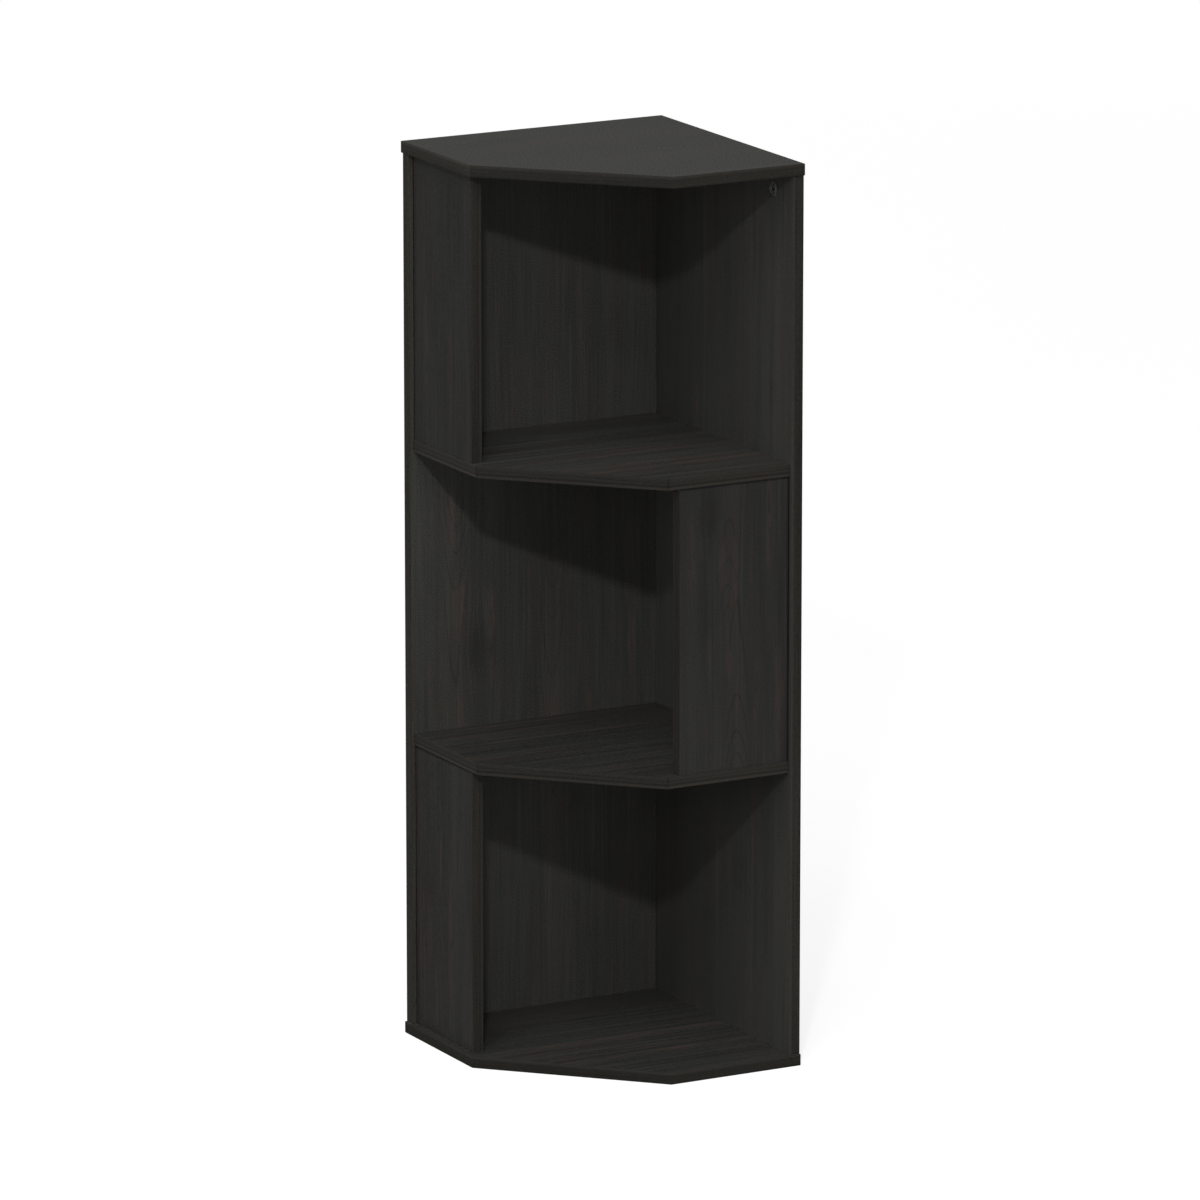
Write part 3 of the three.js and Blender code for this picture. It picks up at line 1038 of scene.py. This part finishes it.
zinc = metal_finish("cast_zinc", colour(84, 84, 83), colour(138, 138, 136), 0.55, 420, shaded_recess=True)
steel = metal_finish("plated_steel", colour(138, 138, 136), colour(190, 189, 184), 0.32, 700)
print("finishes:", zinc.name, "and", steel.name)

# %% [markdown]
# ## Beech
#
# The dowels are plain beech: pale, with a fine grain along the rod and short dark flecks in it. The
# same noise, stretched along the rod once more and once less, gives the grain and the flecks.

# %% Beech
beech_grain_scales = (900, 60)
beech_fleck_scales = (1500, 300)
fleck_edges = (0.6, 0.72)
fleck_dark = 0.6
beech_roughness = 0.68
beech_roughness_swing = 0.15
beech_relief = 0.1 * mm
beech_relief_strength = 0.4


def up_the_rod(tree, across, along):
    """The place on a dowel, scaled across its grain and along it."""
    x, y, z = place_on(tree)
    return combine(tree, x * across, y * across, z * along)


def beech_finish(name):
    material, tree, shader = new_material(name)
    grain = noise(up_the_rod(tree, *beech_grain_scales), 1.0, 3.0, 0.6)
    flecks = noise(up_the_rod(tree, *beech_fleck_scales), 1.0, 2.0).step(*fleck_edges)
    body = blend(grain, colour(176, 132, 88), colour(214, 176, 128))
    feed(shader, "Base Color", blend(flecks * fleck_dark, body, colour(128, 84, 50)))
    feed(shader, "Roughness", beech_roughness + grain.swing(beech_roughness_swing))
    feed(shader, "Normal", bump(grain, beech_relief_strength, beech_relief))
    return material


beech = beech_finish("beech_dowel")
print("finish:", beech.name)

# %% [markdown]
# ## Turned shapes
#
# Screws, bolts, dowels and cam locks are all turned on a lathe or cast round, so one function draws
# them: it sends a profile round the axis. A thread is a turned shape too, if its radius is allowed to
# depend on the angle: the ridge climbs one pitch in each turn. The flutes that let glue out beside a
# dowel are the same idea without the climb.

# %% Turned shapes
steps_per_turn = 6
thread_sharpness = 1.6
least_reach = 0.02 * mm


def turned(name, profile, sides=24, ridge=None):
    """Sends (radius, height) pairs round the Z axis. Ridge, where given, changes the radius by the
    angle, as a share of a turn, and the height."""
    rings = []
    for radius, height in profile:
        ring = []
        for side in range(sides):
            share = side / sides
            reach = radius if ridge is None else ridge(radius, share, height)
            reach = max(reach, least_reach)
            turn = 2 * math.pi * share
            ring.append(Vector((reach * math.cos(turn), reach * math.sin(turn), height)))
        rings.append(ring)
    return skin(name, rings)


def threaded(root, pitch):
    """A ridge that falls from the radius asked for to the root between two turns of a thread."""

    def ridge(radius, share, height):
        if radius <= root:
            return radius
        place = (height / pitch - share) % 1
        crest = max(0.0, 1 - abs(2 * place - 1) * thread_sharpness)
        return root + (radius - root) * crest

    return ridge


def fluted(core, count):
    """Flutes that go down to the core, the count of them all round."""

    def ridge(radius, share, height):
        wave = 0.5 + 0.5 * math.cos(2 * math.pi * count * share)
        return min(radius, core + (radius - core) * wave**0.5)

    return ridge


def thread_heights(low, high, pitch):
    """Heights from high down to low, some to each turn of a thread."""
    count = round((high - low) / (pitch / steps_per_turn))
    return [low + (high - low) * step / count for step in range(count, -1, -1)]


print("heights to each turn of a thread:", steps_per_turn)

# %% [markdown]
# ## Cutting recesses
#
# A cross recess has tapered walls and a flat foot, as the screwdriver's point that fits it. It could
# be modelled face by face, but cutting is safer: we build the cutter as a solid of its own and take
# it away with a Boolean modifier, then keep the result as a plain mesh and delete the helpers.

# %% Cutters
cross_taper = 0.55
edge_taper = 0.3
overrun = 1 * mm


def tapered_block(name, length, width, floor, face):
    """A block that widens from its floor to the face it is cut into, and rises straight from there."""
    rings = []
    for height, share in ((floor, cross_taper), (face, 1.0), (face + overrun, 1.0)):
        x = length / 2 * share
        y = width / 2 * (1 - edge_taper + edge_taper * share)
        corners = [(x, y), (-x, y), (-x, -y), (x, -y)]
        rings.append([Vector((a, b, height)) for a, b in corners])
    return skin(name, rings)


def cross(name, length, width, floor, face):
    """Two tapered blocks crossed, as a screwdriver's point."""
    first = tapered_block(name, length, width, floor, face)
    second = tapered_block(name, length, width, floor, face)
    second.transform(Matrix.Rotation(math.pi / 2, 4, "Z"))
    return [first, second]


def carve(name, body, cutters):
    """The body mesh with the cutter meshes taken out of it."""
    parts = [bpy.data.objects.new("carving", mesh) for mesh in (body, *cutters)]
    for part in parts:
        bpy.context.scene.collection.objects.link(part)
    for cutter in parts[1:]:
        cut = parts[0].modifiers.new("cut", "BOOLEAN")
        cut.operation = "DIFFERENCE"
        cut.solver = "EXACT"
        cut.object = cutter
    evaluated = parts[0].evaluated_get(bpy.context.evaluated_depsgraph_get())
    carved = bpy.data.meshes.new_from_object(evaluated)
    carved.name = name
    for part in parts:
        bpy.data.objects.remove(part)
    return carved


print("a cross narrows to", cross_taper, "of its length")

# %% [markdown]
# ## Screws
#
# The screws are countersunk: a flat head, a cone that sinks into the board, a smooth shank and a
# coarse thread that ends in a point. One mesh serves all eighteen. It is drawn with its head up, and
# each screw is then turned so that its head looks out of the board it is driven into.

# %% Screws
screw_head_radius = 3.6 * mm
screw_head_height = 2.4 * mm
screw_head_bevel = 0.25 * mm
screw_bevel_foot = -0.15 * mm
screw_rim_foot = -0.3 * mm
screw_radius = 1.75 * mm
screw_root = 1.15 * mm
screw_length = 34.7 * mm
screw_pitch = 2.0 * mm
screw_tip = 5 * mm
screw_point = 0.05 * mm
tip_start_share = 0.06
smooth_shank = 7 * mm
recess_depth = 1.7 * mm
recess_length = 4.4 * mm
recess_width = 1.0 * mm


def screw_mesh():
    profile = [(0, 0), (screw_head_radius - screw_head_bevel, 0)]
    profile += [(screw_head_radius, screw_bevel_foot), (screw_head_radius, screw_rim_foot)]
    profile += [(screw_radius, -screw_head_height), (screw_radius, -smooth_shank)]
    for height in thread_heights(-screw_length, -smooth_shank, screw_pitch)[1:]:
        tip_share = min(1.0, (height + screw_length) / screw_tip + tip_start_share)
        profile.append((max(screw_radius * tip_share, screw_point), height))
    body = turned("screw", profile, ridge=threaded(screw_root, screw_pitch))
    cutters = cross("screw_recess", recess_length, recess_width, -recess_depth, 0)
    return finished(carve("screw", body, cutters), steel)


screw = screw_mesh()
outwards = {"back": (0, 1, 0), "corner": (0, 1, 0), "side": (-1, 0, 0), "bottom": (0, 0, -1)}
screws = [name for name in frame["nodes"] if "screw" in name]
for node in screws:
    low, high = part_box(node)
    head_way = Vector(outwards.get(node.split("_")[0], outwards["bottom"]))
    head_place = (low + high) / 2 + head_way * max(high - low) / 2
    upright = head_way.to_track_quat("Z", "Y").to_matrix().to_4x4()
    add_piece("cut_" + node, screw, "carcass", node, Matrix.Translation(head_place) @ upright)
print("screws:", len(screws), "of", len(screw.polygons), "faces")

# %% [markdown]
# ## Cam bolts
#
# A cam bolt is screwed into the underside of one board and reaches down into the next with a ball
# head. From the top it has a coarse thread, a collar that stops it at the face of the board, a smooth
# shank, a neck and the ball. We draw it with the face of the board above at height zero.

# %% Cam bolts
bolt_thread_length = 8 * mm
bolt_thread_end = 7.2 * mm
bolt_thread_radius = 2.6 * mm
bolt_root = 1.9 * mm
bolt_pitch = 1.5 * mm
bolt_neck = 1.8 * mm
collar_seat = 2.0 * mm
collar_radius = 3.2 * mm
collar_bevel = 0.2 * mm
collar_top = -0.3 * mm
collar_foot = -1.3 * mm
shank_radius = 2.5 * mm
shank_foot = -11.3 * mm
neck_top = -11.6 * mm
ball_radius = 3 * mm
ball_middle = -18.4 * mm
ball_steps = 12


def bolt_mesh():
    collar_edge = collar_radius - collar_bevel
    profile = [(0, bolt_thread_length), (bolt_neck, bolt_thread_length)]
    for height in thread_heights(0, bolt_thread_end, bolt_pitch):
        profile.append((bolt_thread_radius, height))
    profile += [(collar_seat, collar_top), (collar_edge, collar_top)]
    profile += [(collar_radius, collar_top - collar_bevel), (collar_radius, collar_foot + collar_bevel)]
    profile += [(collar_edge, collar_foot), (shank_radius, collar_foot)]
    profile += [(shank_radius, shank_foot), (bolt_neck, neck_top)]
    first = math.asin(bolt_neck / ball_radius)
    for step in range(ball_steps + 1):
        turn = first + (math.pi - first) * step / ball_steps
        height = ball_middle + ball_radius * math.cos(turn)
        profile.append((ball_radius * math.sin(turn), height))
    thread = threaded(bolt_root, bolt_pitch)

    def ridge(radius, share, height):
        return thread(radius, share, height) if height > 0 else radius

    return finished(turned("cam_bolt", profile, ridge=ridge), steel)


bolt = bolt_mesh()
bolts = [name for name in frame["nodes"] if name.endswith("_bolt")]
for node in bolts:
    low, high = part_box(node)
    middle = (low + high) / 2
    board_face = Vector((middle.x, middle.y, high.z - bolt_thread_length))
    add_piece("cut_" + node, bolt, "carcass", node, Matrix.Translation(board_face))
print("bolts:", len(bolts), "of", len(bolt.polygons), "faces")

# %% [markdown]
# ## Dowels
#
# The dowels are short rods of beech that keep an upright from turning. They have rounded ends, so
# that they find their holes, and flutes along their sides, so that glue and air can get out. Half a
# profile is enough: the other half is the same, upside down.

# %% Dowels
dowel_half = 12.5 * mm
dowel_radius = 3 * mm
dowel_core = 2.75 * mm
dowel_tip = 2.2 * mm
dowel_bevel_foot = 0.4 * mm
dowel_round_foot = 1 * mm
dowel_plain_end = 2 * mm
dowel_flutes = 16
dowel_sides = 96


def dowel_mesh():
    profile = [(0, dowel_half), (dowel_tip, dowel_half)]
    profile += [(dowel_core, dowel_half - dowel_bevel_foot)]
    profile += [(dowel_radius, dowel_half - dowel_round_foot)]
    profile += [(dowel_radius, dowel_half - dowel_plain_end)]
    profile += [(radius, -height) for radius, height in reversed(profile)]
    return finished(turned("dowel", profile, dowel_sides, fluted(dowel_core, dowel_flutes)), beech)


dowel = dowel_mesh()
dowels = [name for name in frame["nodes"] if name.endswith("_dowel")]
for node in dowels:
    low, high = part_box(node)
    middle = (low + high) / 2
    add_piece("fluted_" + node, dowel, "carcass", node, Matrix.Translation(middle))
print("dowels:", len(dowels), "of", len(dowel.polygons), "faces")

# %% [markdown]
# ## Cam locks: the hollow
#
# A cam lock is a round zinc casting that sits in the face of a board. The bolt's ball head reaches
# into its hollow from the edge of the board. Turned with a screwdriver, the hollow's wall, which is a
# scroll and not a circle, draws the bolt in and clamps the boards. Each one turns on its own joint,
# so its hollow has to clear the ball at every angle: we draw the scroll with the same radii as the
# solid, only in finer steps.

# %% Sizes and scroll of the cam lock
cam_radius = 7.5 * mm
cam_bottom = 9.7 * mm
cam_sink = 0.2 * mm
cap_bottom = 2.7 * mm
bolt_depth = 6 * mm
head_offset = 1.6 * mm
head_keep = 3.3 * mm
slot_half = 2.1 * mm
jaw_clearance = 0.3 * mm
jaw_radius = head_offset + math.sqrt(ball_radius**2 - slot_half**2) + jaw_clearance
cam_pull = 0.8 * mm
locked = math.pi / 2
unlock_turn = math.radians(200)
scroll_steps = 96
slot_steps = 60


def scroll_radius(angle):
    """The hollow's radius: it opens steadily from the locked angle to the mouth, both ways."""
    turn = (locked - angle) % (2 * math.pi)
    if turn <= unlock_turn:
        opening = turn / unlock_turn
    else:
        opening = (2 * math.pi - turn) / (2 * math.pi - unlock_turn)
    return jaw_radius + cam_pull * opening


def on_circle(radius, angle):
    return (radius * math.cos(angle), radius * math.sin(angle))


print("hollow from", round(jaw_radius / mm, 2), "mm, opening by", round(cam_pull / mm, 2), "mm")

# %% [markdown]
# ## Cam locks: the casting
#
# The disc is turned first, with a rounded rim and a shallow groove in its face. Then the hollow, the
# slot for the bolt's neck, the mouth, the cross and the small arrow are cut with Booleans. It is drawn
# with its face up and the bolt on the +Y side.

# %% Casting of the cam lock
cam_bevel = 0.3 * mm
cam_rim = 0.5 * mm
cam_rim_steps = 6
cam_sides = 72
groove_radii = (6.2 * mm, 6.1 * mm, 5.6 * mm, 5.5 * mm)
groove_depth = 0.12 * mm
cross_length = 7 * mm
cross_width = 1.5 * mm
cross_floor = -1.85 * mm
arrow_tip = 6.9 * mm
arrow_foot = 4.4 * mm
arrow_half = 0.9 * mm
arrow_depth = 0.25 * mm
arrow_turn = math.radians(45)
cam_overrun = 2 * mm


def prism(name, outline, low, high):
    return skin(name, [[Vector((x, y, z)) for x, y in outline] for z in (low, high)])


def cam_disc():
    profile = [(0, -cam_bottom), (cam_radius - cam_bevel, -cam_bottom)]
    profile.append((cam_radius, -cam_bottom + cam_bevel))
    for step in range(cam_rim_steps + 1):
        out, up = on_circle(cam_rim, math.pi / 2 * step / cam_rim_steps)
        profile.append((cam_radius - cam_rim + out, -cam_sink - cam_rim + up))
    for radius, depth in zip(groove_radii, (0, groove_depth, groove_depth, 0)):
        profile.append((radius, -cam_sink - depth))
    profile.append((0, -cam_sink))
    return turned("cam", profile, cam_sides)


def cam_cutters():
    """The hollow, the slot round to the mouth, the mouth itself, and the arrow in the face."""
    rounds = [2 * math.pi * step / scroll_steps for step in range(scroll_steps)]
    scroll = [on_circle(scroll_radius(angle), angle) for angle in rounds]
    hollow = prism("hollow", scroll, -cam_bottom - cam_overrun, -cap_bottom)
    reach = cam_radius + cam_overrun
    kept_off = jaw_radius**2 + head_offset**2 - head_keep**2
    first = locked - unlock_turn
    last = locked + math.acos(kept_off / (2 * jaw_radius * head_offset))
    angles = [first + (last - first) * step / slot_steps for step in range(slot_steps + 1)]
    fan = [(0, 0), *[on_circle(reach, angle) for angle in angles]]
    slot = prism("slot", fan, -bolt_depth - slot_half, -bolt_depth + slot_half)
    opening = [(0, -head_keep), (reach, -head_keep), (reach, head_keep), (0, head_keep)]
    mouth = prism("mouth", opening, -cam_bottom - cam_overrun, -cap_bottom)
    mouth.transform(Matrix.Rotation(first, 4, "Z"))
    arrow = [(arrow_tip, 0), (arrow_foot, arrow_half), (arrow_foot, -arrow_half)]
    pointer = prism("pointer", arrow, -cam_sink - arrow_depth, cam_overrun)
    pointer.transform(Matrix.Rotation(arrow_turn, 4, "Z"))
    recess = cross("cam_recess", cross_length, cross_width, cross_floor, -cam_sink)
    return [hollow, slot, mouth, *recess, pointer]


cam = finished(carve("cam", cam_disc(), cam_cutters()), zinc)
print("a cam lock has", len(cam.polygons), "faces")

# %% [markdown]
# ## Cam locks: into their joints
#
# All seven cam locks use the one mesh. The frame says where each one's joint stands and which way
# its axis looks, so we need no places of our own: the mesh is laid into the frame of the joint, with
# its face outwards and the bolt's side up, and rides on the body that the joint turns.

# %% Cam locks
body_nodes = frame["record"]["behaviour"]["bodies"]
for joint in frame["joints"]:
    outward = Vector(joint["axis"])
    up = Vector((0, 0, 1))
    facing = Matrix((up.cross(outward), up, outward)).transposed().to_4x4()
    facing.translation = Vector(joint["pos_m"])
    body = joint["child"]
    node = body_nodes[body][0]
    add_piece("cast_" + node, cam, body, node, facing)

# %% [markdown]
# ## Floor
#
# The photograph's ground is plain white with hardly a shadow. So the camera sees a floor that glows
# a little, and far away it is pure white, so that no horizon shows. A floor as pale as that would
# throw far too much light up under the boards. Blender can tell a ray from the camera from a ray
# that bounces, so what the floor gives back to the unit is set apart: a dull grey all round, and a
# pale patch only beside the unit, which lifts the shade in the bottom tier as in the photograph.

# %% Floor
floor_half = 20
floor_drop = 0.2 * mm
white_from, white_by = 2, 6
patch_in_x = (0.10, 0.25)
patch_in_y = (-0.25, -0.10)
patch_ends = (0.8, 1.4)
dull_level = 0.2
patch_level = 0.8
shaded_level = 0.3
glow_level = 0.8


def grey(level):
    return (level, level, level, 1)


floor_mesh = bpy.data.meshes.new("floor")
shape = bmesh.new()
bmesh.ops.create_grid(shape, x_segments=1, y_segments=1, size=floor_half)
shape.to_mesh(floor_mesh)
shape.free()
floor = bpy.data.objects.new("floor", floor_mesh)
bpy.context.scene.collection.objects.link(floor)
floor.location.z = -floor_drop
floor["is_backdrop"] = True

floor_finish = bpy.data.materials.new("pale_floor")
floor_finish.use_nodes = True
tree = floor_finish.node_tree
tree.nodes.clear()
from_camera = Wire(tree).node("ShaderNodeLightPath", None, None, 0)
x, y = place_on(tree)[:2]
distance = (x * x + y * y) ** 0.5
beside = x.step(*patch_in_x) * y.step(*patch_in_y) * (1 - distance.step(*patch_ends))
dull = x.node("ShaderNodeBsdfDiffuse", None, {"Color": grey(dull_level)})
bright = x.node("ShaderNodeBsdfDiffuse", None, {"Color": grey(patch_level)})
bounced = x.node("ShaderNodeMixShader", None, {0: beside, 1: dull, 2: bright})
shaded = x.node("ShaderNodeBsdfDiffuse", None, {"Color": grey(shaded_level)})
glow = x.node("ShaderNodeEmission", None, {"Color": grey(glow_level)})
pale = x.node("ShaderNodeAddShader", None, {0: shaded, 1: glow})
white = x.node("ShaderNodeEmission", None, {"Color": grey(1)})
seen = x.node("ShaderNodeMixShader", None, {0: distance.step(white_from, white_by), 1: pale, 2: white})
mixed = x.node("ShaderNodeMixShader", None, {0: from_camera, 1: bounced, 2: seen})
x.node("ShaderNodeOutputMaterial", None, {"Surface": mixed}, None)
floor_mesh.materials.append(floor_finish)
print("floor:", 2 * floor_half, "m wide")

# %% [markdown]
# ## Lamps and surroundings
#
# One small lamp stands near the camera, high up, so each shelf throws a soft-edged shadow back on
# the walls, as in the photograph. A large one shines down steeply on the top and the shelves. Four
# more large ones stand low round the front and fill in the tiers. Two weak ones behind keep the back
# from going black when we look from there. All the rest is even light from the surroundings, which
# the camera itself sees as white.

# %% Lamps and surroundings
surroundings_level = 0.31
lamp_target = Vector((0, 0, 0.45))
lamps = {
    "key_lamp": {"azimuth": 59, "elevation": 31.9, "distance": 4.83, "size": 0.2, "power": 84},
    "high_lamp": {"azimuth": 50, "elevation": 55, "distance": 5.5, "size": 3.0, "power": 117},
}
for azimuth, power in ((-10, 39), (20, 63), (50, 44), (110, 20)):
    low_lamp = {"azimuth": azimuth, "elevation": 8, "distance": 5.5, "size": 3.0, "power": power}
    lamps[f"low_lamp_{azimuth}"] = low_lamp
for azimuth in (192, 262):
    back_lamp = {"azimuth": azimuth, "elevation": 2, "distance": 5.5, "size": 0.7, "power": 60}
    lamps[f"back_lamp_{azimuth}"] = back_lamp


def add_lamp(name, azimuth, elevation, distance, size, power):
    lamp = bpy.data.objects.new(name, bpy.data.lights.new(name, "AREA"))
    bpy.context.scene.collection.objects.link(lamp)
    way = direction(math.radians(azimuth), math.radians(elevation))
    look_from(lamp, lamp_target + way * distance, lamp_target)
    lamp.data.shape = "DISK"
    lamp.data.size = size
    lamp.data.energy = power


for name, choices in lamps.items():
    add_lamp(name, **choices)

world = bpy.data.worlds.new("surroundings")
bpy.context.scene.world = world
world.use_nodes = True
tree = world.node_tree
from_camera = Wire(tree).node("ShaderNodeLightPath", None, None, 0)
level = from_camera * (1 - surroundings_level) + surroundings_level
feed(tree.nodes["Background"], "Color", blend(level, grey(0), grey(1)))
bpy.context.scene.view_settings.view_transform = "Standard"
print("lamps:", len(lamps))

# %% [markdown]
# ## Last look at the size
# What we added should stay inside the solids' box. We measure the box of all that is shown and
# print how far its upper corner lies past the solids', in millimetres.

# %% Compare the sizes and finish
shown_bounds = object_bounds()
grown = [round((shown - cad) / mm, 2) for cad, shown in zip(cad_bounds[1], shown_bounds[1])]
print("size change in mm:", grown)
